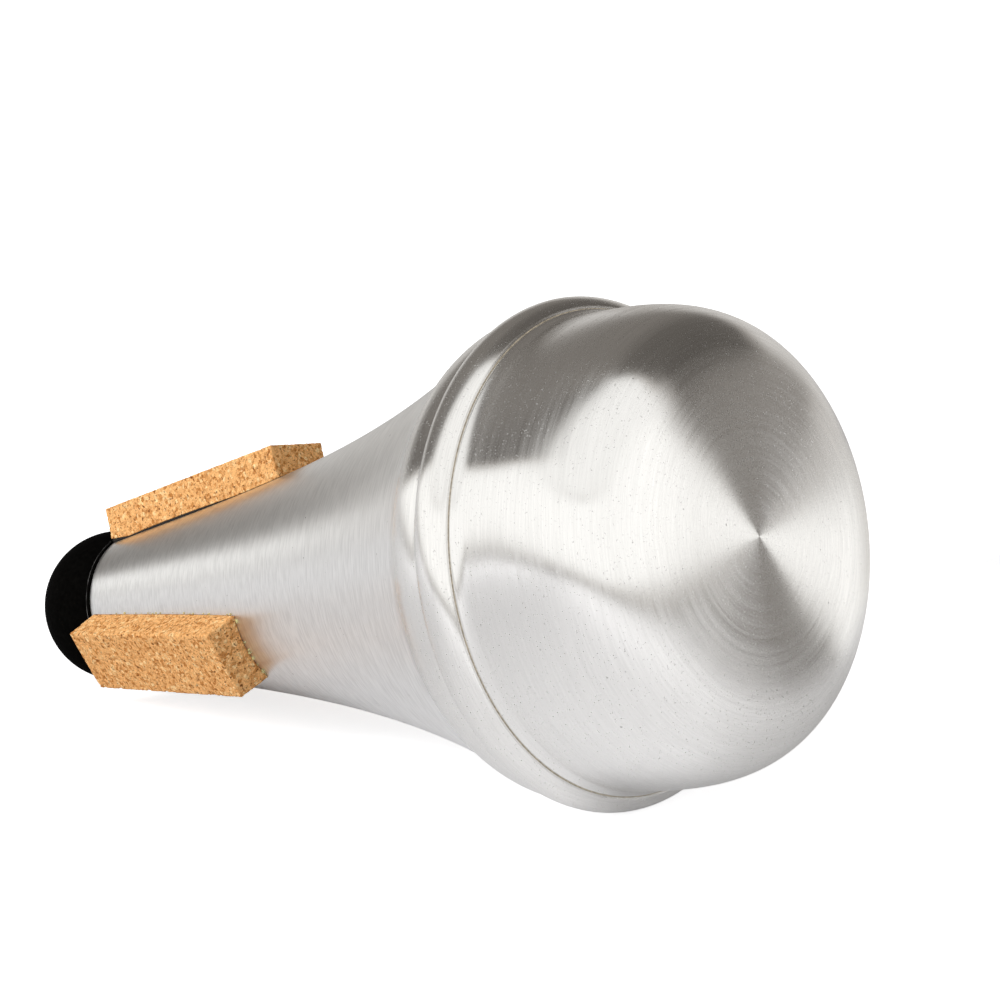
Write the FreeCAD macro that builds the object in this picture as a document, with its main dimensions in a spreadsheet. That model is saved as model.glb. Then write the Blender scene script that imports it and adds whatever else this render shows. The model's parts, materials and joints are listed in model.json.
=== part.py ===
import FreeCAD, Part
import math
import os
import Sketcher

# A trumpet mute of spun aluminium: a flared cone closed by a pressed bowl at its wide
# end, with a rubber nose at its narrow end and cork strips that wedge in the bell.
# Every piece is drawn about the mute's own axis: the sketch's X is the distance from
# the axis, and its Y runs from the flat centre of the bowl to the nose. The finished
# mute lies on its side, on the rim, the nose and one long edge of the back cork.
# Lengths are in millimetres, angles in degrees.

doc = FreeCAD.newDocument("trumpet_mute")
sheet = doc.addObject("Spreadsheet::Sheet", "Sizes")

sizes = {
    # sheet metal
    "sheet_wall": 0.9,
    "flank_wall_share": 1.033,     # the sheet measured square to the axis, on the cone
    # end bowl
    "bowl_flat_radius": 21.0,
    "bowl_turn_length": 26.6,      # how far along the axis the rounded corner reaches
    "bowl_side_length": 6.6,       # straight part between the corner and the shoulder
    "bowl_face_pull_share": 0.644,
    "bowl_side_pull_share": 0.074,
    "bowl_inner_pull_share": 0.4,  # keeps the wall even round the corner, as a share of it
    "shoulder_rise": 0.74,
    "shoulder_length": 2.8,
    "shoulder_to_lip": 0.5,
    "skirt_past_ridge": 1.2,
    "seam_gap": 0.25,
    # rim of the cone
    "lip_radius": 49.75,           # the opening that the bowl's skirt passes through
    "lip_edge": 0.65,
    "lip_land": 0.9,
    "band_rise": 3.05,             # the band's widest point, above the opening
    "band_length": 8.1,
    "crease_rise": 1.05,
    "ridge_land": 0.7,             # half of the land behind the crease
    "bead_length": 10.85,
    "bead_radius": 14.2,
    # flank of the cone
    "flank_inset": 3.65,           # start of the flank, below the opening
    "mouth_radius": 16.4,
    "cone_length": 129.5,
    "flank_first_share": 0.374,
    "flank_second_share": 0.2076,
    # rubber nose
    "air_bore_radius": 6.5,
    "bore_round": 1.2,
    "nose_fit": 0.1,
    "nose_spigot_length": 12.0,
    "nose_neck_length": 4.0,
    "nose_barb": 0.5,
    "nose_lead": 1.2,
    "nose_lip_rise": 0.4,          # this and the next two are above the mouth's radius
    "nose_bulge_rise": 1.26,
    "nose_ball_rise": 1.84,
    "nose_lip_length": 1.0,
    "nose_ball_reach": 8.6,        # mouth edge to the widest point of the nose
    "nose_ball_turn": 39.5,
    "nose_end_land": 1.165,
    # cork strips
    "cork_length": 57.0,
    "cork_width": 15.8,
    "cork_lift": 6.6,              # middle of the outer face above the metal
    "cork_setback": 0.6,           # from the mouth edge
    "cork_spare": 2.4,             # what the hollowing takes off under the strip's edges
    # adhesive
    "glue_film": 0.35,
    "glue_gap": 0.02,              # the film's top face below the cork
    "glue_margin": 0.4,
    "sealant_gap": 0.05,
    # cutting overrun
    "overrun": 20.0,
}

for row, (alias, number) in enumerate(sizes.items(), start=1):
    sheet.set(f"A{row}", alias.replace("_", " "))
    sheet.set(f"B{row}", str(number))
    sheet.setAlias(f"B{row}", alias)
doc.recompute()


def value(text):
    return float(sheet.evalExpression(text))


# Stations along the axis
corner_to_lip = "(Sizes.bowl_side_length + Sizes.shoulder_length + Sizes.shoulder_to_lip)"
lip_at = f"(Sizes.bowl_turn_length + {corner_to_lip})"
crease_at = f"({lip_at} + Sizes.band_length)"
flank_at = f"({crease_at} + Sizes.bead_length)"
mouth_at = f"({flank_at} + Sizes.cone_length)"

# Radii that the rim gives the rest
band_radius = "(Sizes.lip_radius + Sizes.band_rise)"
crease_radius = "(Sizes.lip_radius + Sizes.crease_rise)"
flank_start = "(Sizes.lip_radius - Sizes.flank_inset)"
flank_fall = f"({flank_start} - Sizes.mouth_radius)"
flank_wall = "(Sizes.sheet_wall * Sizes.flank_wall_share)"


def arc_centre(start, end, radius, side):
    """Centre of the arc from start to end that bulges to the left (1) or the right (-1)."""
    chord = end - start
    half = chord.Length / 2
    left = FreeCAD.Vector(-chord.y, chord.x, 0).normalize()
    return (start + end) / 2 - left * side * math.sqrt(radius ** 2 - half ** 2)


def add_arc(sketch, start, end, radius, side):
    """An arc, with the numbers of the ends where the outline enters and leaves it."""
    centre = arc_centre(start, end, radius, side)
    circle = Part.Circle(centre, FreeCAD.Vector(0, 0, 1), radius)
    first, last = (end, start) if side > 0 else (start, end)
    angles = [math.atan2(p.y - centre.y, p.x - centre.x) for p in (first, last)]
    if angles[1] < angles[0]:
        angles[1] += 2 * math.pi
    index = sketch.addGeometry(Part.ArcOfCircle(circle, *angles), False)
    return (index, 2, 1) if side > 0 else (index, 1, 2)


def pin(sketch, index, end, corner):
    """Ties one point of the sketch to its distances from and along the axis."""
    kinds = (("DistanceX", corner[0], -2), ("DistanceY", corner[1], -1))
    for kind, text, axis in kinds:
        if text == "0":
            sketch.addConstraint(Sketcher.Constraint("PointOnObject", index, end, axis))
        else:
            tie = Sketcher.Constraint(kind, -1, 1, index, end, value(text))
            number = sketch.addConstraint(tie)
            sketch.setExpression(f"Constraints[{number}]", text)


def add_spline(sketch, poles):
    """One cubic curve whose two middle poles are tied to sizes."""
    places = [FreeCAD.Vector(value(r), value(s), 0) for r, s in poles]
    curve = Part.BSplineCurve(places, None, None, False, 3, None, False)
    index = sketch.addGeometry(curve, False)
    for number, place in enumerate(places):
        circle = Part.Circle(place, FreeCAD.Vector(0, 0, 1), value("Sizes.sheet_wall"))
        knob = sketch.addGeometry(circle, True)
        role = "InternalAlignment:Sketcher::BSplineControlPoint"
        sketch.addConstraint(Sketcher.Constraint("Weight", knob, 1.0))
        sketch.addConstraint(Sketcher.Constraint(role, knob, 3, index, number))
        if 0 < number < 3:
            pin(sketch, knob, 3, poles[number])
    return (index, 1, 2)


def outline(body, name, corners, bends):
    """A closed sketch through the corners. bends gives the edges that aren't straight."""
    sketch = body.newObject("Sketcher::SketchObject", name)
    plane = [f for f in body.Origin.OriginFeatures if f.Role == "XZ_Plane"][0]
    sketch.AttachmentSupport = (plane, [""])
    sketch.MapMode = "FlatFace"
    places = [FreeCAD.Vector(value(r), value(s), 0) for r, s in corners]
    edges = []
    for number, start in enumerate(places):
        following = (number + 1) % len(places)
        end = places[following]
        bend = bends.get(number)
        if bend is None:
            edges.append((sketch.addGeometry(Part.LineSegment(start, end), False), 1, 2))
        elif bend[0] == "arc":
            edges.append(add_arc(sketch, start, end, value(bend[1]), bend[2]))
            tie = Sketcher.Constraint("Radius", edges[-1][0], value(bend[1]))
            sketch.setExpression(f"Constraints[{sketch.addConstraint(tie)}]", bend[1])
        else:
            poles = [corners[number], bend[1], bend[2], corners[following]]
            edges.append(add_spline(sketch, poles))
    for number, (index, entry, leave) in enumerate(edges):
        before = edges[number - 1]
        sketch.addConstraint(Sketcher.Constraint("Coincident", before[0], before[2], index, entry))
        pin(sketch, index, entry, corners[number])
    return sketch


def new_body(label):
    body = doc.addObject("PartDesign::Body", label)
    body.Label = label
    return body


def spin(body, kind, name, sketch):
    """Turns an outline about the mute's axis, as a Revolution or a Groove."""
    feature = body.newObject(f"PartDesign::{kind}", name)
    feature.Profile = sketch
    feature.ReferenceAxis = (sketch, ["V_Axis"])
    feature.Angle = 360
    body.Tip = feature
    return feature


def flank_poles(lift):
    """The two middle poles of the cone's flank, lifted off the metal."""
    poles = []
    for number, share in ((1, "flank_first_share"), (2, "flank_second_share")):
        radius = f"Sizes.mouth_radius + Sizes.{share} * {flank_fall} + {lift}"
        poles.append((radius, f"{flank_at} + Sizes.cone_length * {number} / 3"))
    return poles


def flank_radius(share, lift):
    """Radius of the flank at a share of the cone's length, lifted off the metal."""
    near = f"(1 - {share})"
    curve = (
        f"({near}^3 + 3 * {near}^2 * {share} * Sizes.flank_first_share"
        f" + 3 * {near} * {share}^2 * Sizes.flank_second_share)"
    )
    return f"(Sizes.mouth_radius + {flank_fall} * {curve} + {lift})"


def middle(first, second):
    return f"(({first} + {second}) / 2)"


def bulge_radius(half_chord, rise):
    """Radius of the arc that rises so far over half of its chord."""
    return f"(({half_chord})^2 + ({rise})^2) / (2 * ({rise}))"


# Cone shell: spun in one piece, with a hollow band and a shallow bead for its rim
lip_outer = "(Sizes.lip_radius + Sizes.lip_edge)"
ridge_radius = f"({crease_radius} - Sizes.sheet_wall)"
inner_flank = f"({flank_start} - {flank_wall})"
land_top = f"({lip_at} + Sizes.lip_land)"
ridge_low = f"({crease_at} - Sizes.ridge_land)"
ridge_high = f"({crease_at} + Sizes.ridge_land)"
band_outer_arc = bulge_radius(
    "Sizes.band_length / 2", f"{band_radius} - {middle(lip_outer, crease_radius)}"
)
band_inner_arc = bulge_radius(
    f"({ridge_low} - {land_top}) / 2",
    f"{band_radius} - Sizes.sheet_wall - {middle('Sizes.lip_radius', ridge_radius)}",
)

cone_shell = new_body("cone_shell")
cone_corners = [
    (lip_outer, lip_at),
    (crease_radius, crease_at),
    (flank_start, flank_at),
    ("Sizes.mouth_radius", mouth_at),
    (f"Sizes.mouth_radius - {flank_wall}", mouth_at),
    (inner_flank, flank_at),
    (ridge_radius, ridge_high),
    (ridge_radius, ridge_low),
    ("Sizes.lip_radius", land_top),
    ("Sizes.lip_radius", lip_at),
]
outer_poles = flank_poles("0")
inner_poles = flank_poles(f"(0 - {flank_wall})")
cone_bends = {
    0: ("arc", band_outer_arc, -1),
    1: ("arc", "Sizes.bead_radius", -1),
    2: ("spline", outer_poles[0], outer_poles[1]),
    4: ("spline", inner_poles[1], inner_poles[0]),
    5: ("arc", "Sizes.bead_radius - Sizes.sheet_wall", 1),
    7: ("arc", band_inner_arc, 1),
}
spin(cone_shell, "Revolution", "spun_cone", outline(cone_shell, "cone_wall", cone_corners, cone_bends))

# End bowl: a flat centre, a rounded corner, a small shoulder and a skirt inside the rim
skirt_radius = "(Sizes.lip_radius - Sizes.seam_gap)"
side_radius = f"({skirt_radius} - Sizes.shoulder_rise)"
shoulder_end = f"({lip_at} - Sizes.shoulder_to_lip)"
shoulder_start = f"({shoulder_end} - Sizes.shoulder_length)"
skirt_end = f"({ridge_high} + Sizes.skirt_past_ridge)"
bowl_face_pole = (
    f"(Sizes.bowl_flat_radius + Sizes.bowl_face_pull_share * ({side_radius} - Sizes.bowl_flat_radius))"
)
bowl_side_pole = "(Sizes.bowl_side_pull_share * Sizes.bowl_turn_length)"
inner_pull = "Sizes.bowl_inner_pull_share * Sizes.sheet_wall"
shoulder_arc = bulge_radius("Sizes.shoulder_length", "Sizes.shoulder_rise")

end_bowl = new_body("end_bowl")
bowl_corners = [
    ("0", "0"),
    ("Sizes.bowl_flat_radius", "0"),
    (side_radius, "Sizes.bowl_turn_length"),
    (side_radius, shoulder_start),
    (skirt_radius, shoulder_end),
    (skirt_radius, skirt_end),
    (f"{skirt_radius} - Sizes.sheet_wall", skirt_end),
    (f"{skirt_radius} - Sizes.sheet_wall", shoulder_end),
    (f"{side_radius} - Sizes.sheet_wall", shoulder_start),
    (f"{side_radius} - Sizes.sheet_wall", "Sizes.bowl_turn_length"),
    ("Sizes.bowl_flat_radius", "Sizes.sheet_wall"),
    ("0", "Sizes.sheet_wall"),
]
bowl_bends = {
    1: ("spline", (bowl_face_pole, "0"), (side_radius, bowl_side_pole)),
    3: ("arc", shoulder_arc, 1),
    7: ("arc", shoulder_arc, -1),
    9: (
        "spline",
        (f"{side_radius} - Sizes.sheet_wall", f"{bowl_side_pole} + {inner_pull}"),
        (f"{bowl_face_pole} - {inner_pull}", "Sizes.sheet_wall"),
    ),
}
spin(end_bowl, "Revolution", "pressed_bowl", outline(end_bowl, "bowl_wall", bowl_corners, bowl_bends))

# Sealant: the adhesive that fills the hollow of the band around the bowl's skirt
seam_sealant = new_body("seam_sealant")
sealant_inner = f"({skirt_radius} + Sizes.sealant_gap)"
sealant_start = f"({land_top} + Sizes.sealant_gap)"
sealant_end = f"({ridge_low} - Sizes.sealant_gap)"
sealant_rise = (
    f"{band_radius} - Sizes.sheet_wall - {middle('Sizes.lip_radius', ridge_radius)} - Sizes.sealant_gap"
)
sealant_corners = [
    (sealant_inner, sealant_start),
    ("Sizes.lip_radius", sealant_start),
    (ridge_radius, sealant_end),
    (sealant_inner, sealant_end),
]
sealant_bends = {1: ("arc", bulge_radius(f"({sealant_end} - {sealant_start}) / 2", sealant_rise), -1)}
spin(
    seam_sealant, "Revolution", "sealant_ring",
    outline(seam_sealant, "sealant_section", sealant_corners, sealant_bends),
)

# Nose bumper: rubber, pushed into the mouth by a barbed spigot, with the air bore through it
neck_radius = f"(Sizes.mouth_radius - {flank_wall} - Sizes.nose_fit)"
barb_radius = f"({neck_radius} + Sizes.nose_barb)"
spigot_start = f"({mouth_at} - Sizes.nose_spigot_length)"
barb_high = f"({mouth_at} - Sizes.nose_neck_length)"
lip_end = f"({mouth_at} + Sizes.nose_lip_length)"
ball_at = f"({mouth_at} + Sizes.nose_ball_reach)"
lip_top = "(Sizes.mouth_radius + Sizes.nose_lip_rise)"
ball_size = "(Sizes.mouth_radius + Sizes.nose_ball_rise)"
ball_centre = "(Sizes.nose_bulge_rise - Sizes.nose_ball_rise)"
ball_chord = "(Sizes.nose_ball_reach - Sizes.nose_lip_length)"
turn_out = "cos(Sizes.nose_ball_turn * 1 deg)"
turn_up = "sin(Sizes.nose_ball_turn * 1 deg)"
end_land_radius = "(Sizes.air_bore_radius + Sizes.bore_round + Sizes.nose_end_land)"
core_radius = f"(({end_land_radius} - {ball_centre}) / {turn_out})"
end_round = f"({ball_size} - {core_radius})"
nose_end = f"({ball_at} + {core_radius} * {turn_up} + {end_round})"

nose_bumper = new_body("nose_bumper")
nose_corners = [
    ("Sizes.air_bore_radius", spigot_start),
    (f"{neck_radius} - Sizes.nose_lead", spigot_start),
    (barb_radius, f"{spigot_start} + Sizes.nose_neck_length"),
    (barb_radius, f"{barb_high} - Sizes.nose_barb"),
    (neck_radius, barb_high),
    (neck_radius, mouth_at),
    (lip_top, mouth_at),
    (lip_top, lip_end),
    (f"{ball_centre} + sqrt({ball_size}^2 - {ball_chord}^2)", lip_end),
    (f"{ball_centre} + {ball_size} * {turn_out}", f"{ball_at} + {ball_size} * {turn_up}"),
    (end_land_radius, nose_end),
    ("Sizes.air_bore_radius + Sizes.bore_round", nose_end),
    ("Sizes.air_bore_radius", f"{nose_end} - Sizes.bore_round"),
]
nose_bends = {
    8: ("arc", ball_size, -1),
    9: ("arc", end_round, -1),
    11: ("arc", "Sizes.bore_round", -1),
}
nose_section = outline(nose_bumper, "nose_section", nose_corners, nose_bends)
spin(nose_bumper, "Revolution", "moulded_nose", nose_section)

# Cork strips: straight blocks hollowed underneath to the cone, each on its film of glue
cork_narrow_at = f"({mouth_at} - Sizes.cork_setback)"
cork_wide_at = f"({cork_narrow_at} - Sizes.cork_length)"
narrow_share = "(1 - Sizes.cork_setback / Sizes.cone_length)"
wide_share = "(1 - (Sizes.cork_setback + Sizes.cork_length) / Sizes.cone_length)"
cork_narrow_radius = flank_radius(narrow_share, "Sizes.cork_lift")
cork_wide_radius = flank_radius(wide_share, "Sizes.cork_lift")
cork_slope = f"(({cork_wide_radius} - {cork_narrow_radius}) / Sizes.cork_length)"
cork_sag = "(Sizes.mouth_radius - sqrt(Sizes.mouth_radius^2 - (Sizes.cork_width / 2)^2))"
cork_blank = f"(Sizes.cork_lift + {cork_sag} + Sizes.cork_spare)"
cork_in = f"({cork_blank} / sqrt(1 + {cork_slope}^2))"
cork_back = f"({cork_in} * {cork_slope})"


def strip_outline(body, margin):
    """Side view of a cork strip, square at its ends, longer by a margin at each."""
    corners = [
        (cork_wide_radius, f"{cork_wide_at} - {margin}"),
        (cork_narrow_radius, f"{cork_narrow_at} + {margin}"),
        (f"{cork_narrow_radius} - {cork_in}", f"{cork_narrow_at} - {cork_back} + {margin}"),
        (f"{cork_wide_radius} - {cork_in}", f"{cork_wide_at} - {cork_back} - {margin}"),
    ]
    return outline(body, "strip_side", corners, {})


def metal_outline(body, name, lift, inside):
    """All that lies inside the flank, or outside it, lifted off the metal."""
    poles = flank_poles(lift)
    start = (f"{flank_start} + {lift}", flank_at)
    mouth = (f"Sizes.mouth_radius + {lift}", mouth_at)
    if inside:
        corners = [start, mouth, ("0", mouth_at), ("0", flank_at)]
    else:
        far = f"{flank_start} + {lift} + Sizes.overrun"
        corners = [start, mouth, (far, mouth_at), (far, flank_at)]
    return outline(body, name, corners, {0: ("spline", poles[0], poles[1])})


def strip_body(label, margin):
    """A block along the flank, centred on the mute's X axis."""
    body = new_body(label)
    pad = body.newObject("PartDesign::Pad", "strip")
    pad.Profile = strip_outline(body, margin)
    pad.SideType = "Symmetric"
    pad.setExpression("Length", f"Sizes.cork_width + 2 * {margin}")
    body.Tip = pad
    return body


def cork_strip(label):
    body = strip_body(label, "0")
    spin(body, "Groove", "underside", metal_outline(body, "under_cork", "Sizes.glue_film", True))
    return body


def glue_patch(label):
    body = strip_body(label, "Sizes.glue_margin")
    spin(body, "Groove", "off_metal", metal_outline(body, "under_glue", "0", True))
    film_top = "(Sizes.glue_film - Sizes.glue_gap)"
    spin(body, "Groove", "off_cork", metal_outline(body, "over_glue", film_top, False))
    return body


sides = ("top", "back", "front")
turned = {}
for number, side in enumerate(sides):
    turned[cork_strip(f"cork_{side}")] = number
    turned[glue_patch(f"glue_{side}")] = number

doc.recompute()

# Rest pose: rolled until the back cork touches, tilted until rim and nose both touch
rim_start = FreeCAD.Vector(value(lip_outer), value(lip_at), 0)
rim_end = FreeCAD.Vector(value(crease_radius), value(crease_at), 0)
rim_arc = value(band_outer_arc)
rim_centre = arc_centre(rim_start, rim_end, rim_arc, -1)
ball_radius = value(ball_size)
nose_centre = FreeCAD.Vector(value(ball_centre), value(ball_at), 0)

apart = nose_centre - rim_centre
tilt = math.atan2(-apart.x, apart.y) + math.asin((rim_arc - ball_radius) / apart.Length)
floor = rim_centre.y * math.sin(tilt) + rim_centre.x * math.cos(tilt) + rim_arc

corner_out = value(cork_narrow_radius)
corner_across = value("Sizes.cork_width") / 2
room = (floor - value(cork_narrow_at) * math.sin(tilt)) / math.cos(tilt)
reach = math.hypot(corner_out, corner_across)
lean = math.acos(min(1, room / reach)) + math.atan2(corner_across, corner_out)
spacing = 2 * math.pi / len(sides)
roll = math.pi - spacing - lean

lay_down = FreeCAD.Rotation(FreeCAD.Vector(0, 1, 0), -90 - math.degrees(tilt))
roll_over = FreeCAD.Rotation(FreeCAD.Vector(0, 0, 1), math.degrees(roll))
rest = lay_down.multiply(roll_over)
bodies = [cone_shell, end_bowl, seam_sealant, nose_bumper] + list(turned)
for body in bodies:
    turn = math.degrees(spacing * turned.get(body, 0))
    about_axis = FreeCAD.Rotation(FreeCAD.Vector(0, 0, 1), turn)
    body.Placement = FreeCAD.Placement(FreeCAD.Vector(0, 0, 0), rest.multiply(about_axis))
doc.recompute()

# The origin is under the middle of the mute, on the surface it lies on
box = Part.makeCompound([body.Shape for body in bodies]).optimalBoundingBox(False)
shift = FreeCAD.Vector(-box.Center.x, -box.Center.y, -box.ZMin)
for body in bodies:
    body.Placement.Base = shift
doc.recompute()

for item in doc.Objects:
    if "Invalid" in item.State or "Error" in item.State:
        raise RuntimeError(f"{item.Label} did not build")
for body in bodies:
    if body.Shape.isNull() or not body.Shape.isValid() or body.Shape.Volume <= 0:
        raise RuntimeError(f"{body.Label} has no sound shape")

os.makedirs("parts", exist_ok=True)
for body in bodies:
    body.Shape.exportStep(os.path.join("parts", body.Label + ".step"))
    print(body.Label, "volume", round(body.Shape.Volume, 1), "solids", len(body.Shape.Solids))
print("tilt", round(math.degrees(tilt), 3), "roll", round(math.degrees(roll), 3))
print("apex at", shift, "size", box.XLength, box.YLength, box.ZLength)
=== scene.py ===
import bpy
import bmesh
import json
import math
from mathutils import Matrix, Vector, noise


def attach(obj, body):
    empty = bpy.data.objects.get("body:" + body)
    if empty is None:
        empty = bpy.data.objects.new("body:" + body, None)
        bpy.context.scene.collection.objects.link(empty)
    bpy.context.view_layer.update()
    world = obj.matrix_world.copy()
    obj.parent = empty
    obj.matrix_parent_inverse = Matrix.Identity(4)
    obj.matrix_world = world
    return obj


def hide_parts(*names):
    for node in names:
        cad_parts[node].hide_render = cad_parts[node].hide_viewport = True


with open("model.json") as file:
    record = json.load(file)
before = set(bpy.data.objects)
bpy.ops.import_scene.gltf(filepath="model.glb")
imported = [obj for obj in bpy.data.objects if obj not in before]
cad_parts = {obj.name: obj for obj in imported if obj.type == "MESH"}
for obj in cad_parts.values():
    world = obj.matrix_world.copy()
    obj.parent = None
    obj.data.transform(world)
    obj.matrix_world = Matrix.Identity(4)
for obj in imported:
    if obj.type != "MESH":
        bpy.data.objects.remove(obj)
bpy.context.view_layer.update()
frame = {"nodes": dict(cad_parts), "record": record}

# A spun aluminium trumpet mute, lying on its rim, its rubber nose and the edge of one cork.
# Its pieces are drawn about the mute's own axis, in millimetres: X is the distance from the
# axis and Z runs from the flat centre of the bowl to the nose. muteFrame lays them down.

scene = bpy.context.scene
scene.view_settings.view_transform = "Standard"

rest = {"rollDegrees": 7.08, "corkSpacingDegrees": 120, "metresPerUnit": 0.001}
outlines = {
    "samePoint": 0.001, "smoothDegrees": 152, "sideShare": 0.45, "cornerPull": 0.6,
    "cornerSteps": 4,
}


def makeMuteFrame():
    face = next(m for m in frame["record"]["mounts"] if m["name"] == "standing_face")
    along = -Vector(face["axis"]).normalized()
    upright = Vector((along.z, 0, -along.x))
    roll = math.radians(rest["rollDegrees"])
    across = upright * math.cos(roll) + Vector((0, 1, 0)) * math.sin(roll)
    side = along.cross(across)
    turn = Matrix((across, side, along)).transposed().to_4x4()
    return Matrix.Translation(face["pos_m"]) @ turn @ Matrix.Scale(rest["metresPerUnit"], 4)


muteFrame = makeMuteFrame()


# Outlines: lists of (distance from the axis, distance along it). The last number given to an
# arc or a curve is its count of steps.

# The arc from start to end that bulges to the left (1) or to the right (-1)
def arcPoints(start, end, radius, side, count):
    start, end = Vector(start), Vector(end)
    chord = end - start
    left = Vector((-chord.y, chord.x)).normalized()
    centre = (start + end) / 2 - left * side * math.sqrt(radius ** 2 - (chord.length / 2) ** 2)
    first, last = start - centre, end - centre
    sweep = first.angle_signed(last)
    return [
        centre + Matrix.Rotation(-sweep * step / count, 2) @ first
        for step in range(count + 1)
    ]


def curvePoint(poles, share):
    away = 1 - share
    weights = (away ** 3, 3 * away ** 2 * share, 3 * away * share ** 2, share ** 3)
    return sum((Vector(pole) * weight for pole, weight in zip(poles, weights)), Vector((0, 0)))


def curvePoints(poles, count):
    return [curvePoint(poles, step / count) for step in range(count + 1)]


def bulgeRadius(halfChord, rise):
    return (halfChord ** 2 + rise ** 2) / (2 * rise)


# One outline from runs of points, with its sharp corners rounded by softness
def joinRuns(runs, closed, softness):
    points = []
    for point in (Vector(p) for run in runs for p in run):
        if not points or (point - points[-1]).length > outlines["samePoint"]:
            points.append(point)
    if closed and (points[0] - points[-1]).length < outlines["samePoint"]:
        points.pop()
    rounded = []
    for number, point in enumerate(points):
        atEnd = not closed and number in (0, len(points) - 1)
        before = points[number - 1] - point
        after = points[(number + 1) % len(points)] - point
        if atEnd or before.angle(after) > math.radians(outlines["smoothDegrees"]):
            rounded.append(point)
            continue
        reach = min(softness, outlines["sideShare"] * min(before.length, after.length))
        entry, leave = point + before.normalized() * reach, point + after.normalized() * reach
        pull = outlines["cornerPull"]
        poles = (entry, entry.lerp(point, pull), leave.lerp(point, pull), leave)
        rounded += curvePoints(poles, outlines["cornerSteps"])
    if closed:
        rounded.append(rounded[0].copy())
    return rounded


# How far along the outline its point nearest to the target lies
def runTo(points, target):
    gaps = [(point - Vector(target)).length for point in points]
    nearest = gaps.index(min(gaps))
    return sum((points[number] - points[number - 1]).length for number in range(1, nearest + 1))


# Turned pieces: a Geometry Nodes tree spins an outline about the mute's axis

def newTree(name, inputs):
    tree = bpy.data.node_groups.new(name, "GeometryNodeTree")
    sockets = [(label, "INPUT", kind) for label, kind in inputs.items()]
    for label, direction, kind in (*sockets, ("Geometry", "OUTPUT", "Geometry")):
        tree.interface.new_socket(
            name=label, in_out=direction, socket_type="NodeSocket" + kind)
    return tree, tree.nodes.new("NodeGroupInput").outputs


def nodeWith(nodes, kind, **settings):
    node = nodes.new(kind)
    for name, value in settings.items():
        setattr(node, name, value)
    return node


def partsOf(tree, source):
    node = tree.nodes.new("ShaderNodeSeparateXYZ")
    tree.links.new(source, node.inputs[0])
    return node.outputs


def mathNode(tree, operation, first, second=None, third=None):
    node = nodeWith(tree.nodes, "ShaderNodeMath", operation=operation)
    for slot, source in enumerate((first, second, third)):
        if isinstance(source, (int, float)):
            node.inputs[slot].default_value = source
        elif source is not None:
            tree.links.new(source, node.inputs[slot])
    return node.outputs[0]


# Realizes and smooths the geometry, gives it the material and sends it out
def finishTree(tree, geometry, material):
    for kind in ("RealizeInstances", "SetShadeSmooth", "SetMaterial"):
        node = tree.nodes.new("GeometryNode" + kind)
        tree.links.new(geometry, node.inputs["Geometry"])
        geometry = node.outputs[0]
    tree.links.new(material, node.inputs["Material"])
    tree.links.new(geometry, tree.nodes.new("NodeGroupOutput").inputs[0])


spins = {"weld": 0.0008}       # millimetres, for the closing seam and the poles
spinInputs = {"Outline": "Geometry", "Segments": "Int", "Rows": "Int", "Material": "Material"}


def makeSpinTree():
    tree, given = newTree("spinOutline", spinInputs)
    nodes, link = tree.nodes, tree.links.new

    grid = nodes.new("GeometryNodeMeshGrid")
    grid.inputs["Size X"].default_value = 1
    grid.inputs["Size Y"].default_value = 1
    link(mathNode(tree, "ADD", given["Segments"], 1), grid.inputs["Vertices X"])
    link(given["Rows"], grid.inputs["Vertices Y"])

    place = nodes.new("GeometryNodeInputPosition").outputs[0]
    split = partsOf(tree, place)
    turnShare = mathNode(tree, "ADD", split[0], 0.5)
    angle = mathNode(tree, "MULTIPLY", turnShare, math.tau)
    lastRow = mathNode(tree, "SUBTRACT", given["Rows"], 1)
    rowShare = mathNode(tree, "ADD", split[1], 0.5)
    row = mathNode(tree, "ROUND", mathNode(tree, "MULTIPLY", rowShare, lastRow))

    runName = nodeWith(nodes, "GeometryNodeInputNamedAttribute", data_type="FLOAT")
    runName.inputs["Name"].default_value = "run"
    samples = []
    for kind, value in (("FLOAT_VECTOR", place), ("FLOAT", runName.outputs[0])):
        sample = nodeWith(nodes, "GeometryNodeSampleIndex", data_type=kind)
        link(given["Outline"], sample.inputs["Geometry"])
        link(value, sample.inputs["Value"])
        link(row, sample.inputs["Index"])
        samples.append(sample.outputs[0])
    corner, run = partsOf(tree, samples[0]), samples[1]

    uvParts = nodes.new("ShaderNodeCombineXYZ")
    link(turnShare, uvParts.inputs[0])
    link(run, uvParts.inputs[1])
    keepUv = nodeWith(
        nodes, "GeometryNodeStoreNamedAttribute", data_type="FLOAT2", domain="CORNER")
    keepUv.inputs["Name"].default_value = "spin"
    link(grid.outputs["Mesh"], keepUv.inputs["Geometry"])
    link(uvParts.outputs[0], keepUv.inputs["Value"])

    spun = nodes.new("ShaderNodeCombineXYZ")
    for slot, wave in enumerate(("COSINE", "SINE")):
        turned = mathNode(tree, wave, angle)
        link(mathNode(tree, "MULTIPLY", corner[0], turned), spun.inputs[slot])
    link(corner[2], spun.inputs[2])
    move = nodes.new("GeometryNodeSetPosition")
    link(keepUv.outputs[0], move.inputs["Geometry"])
    link(spun.outputs[0], move.inputs["Position"])
    weld = nodes.new("GeometryNodeMergeByDistance")
    weld.inputs["Distance"].default_value = spins["weld"]
    link(move.outputs[0], weld.inputs["Geometry"])
    finishTree(tree, weld.outputs[0], given["Material"])
    return tree


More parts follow.
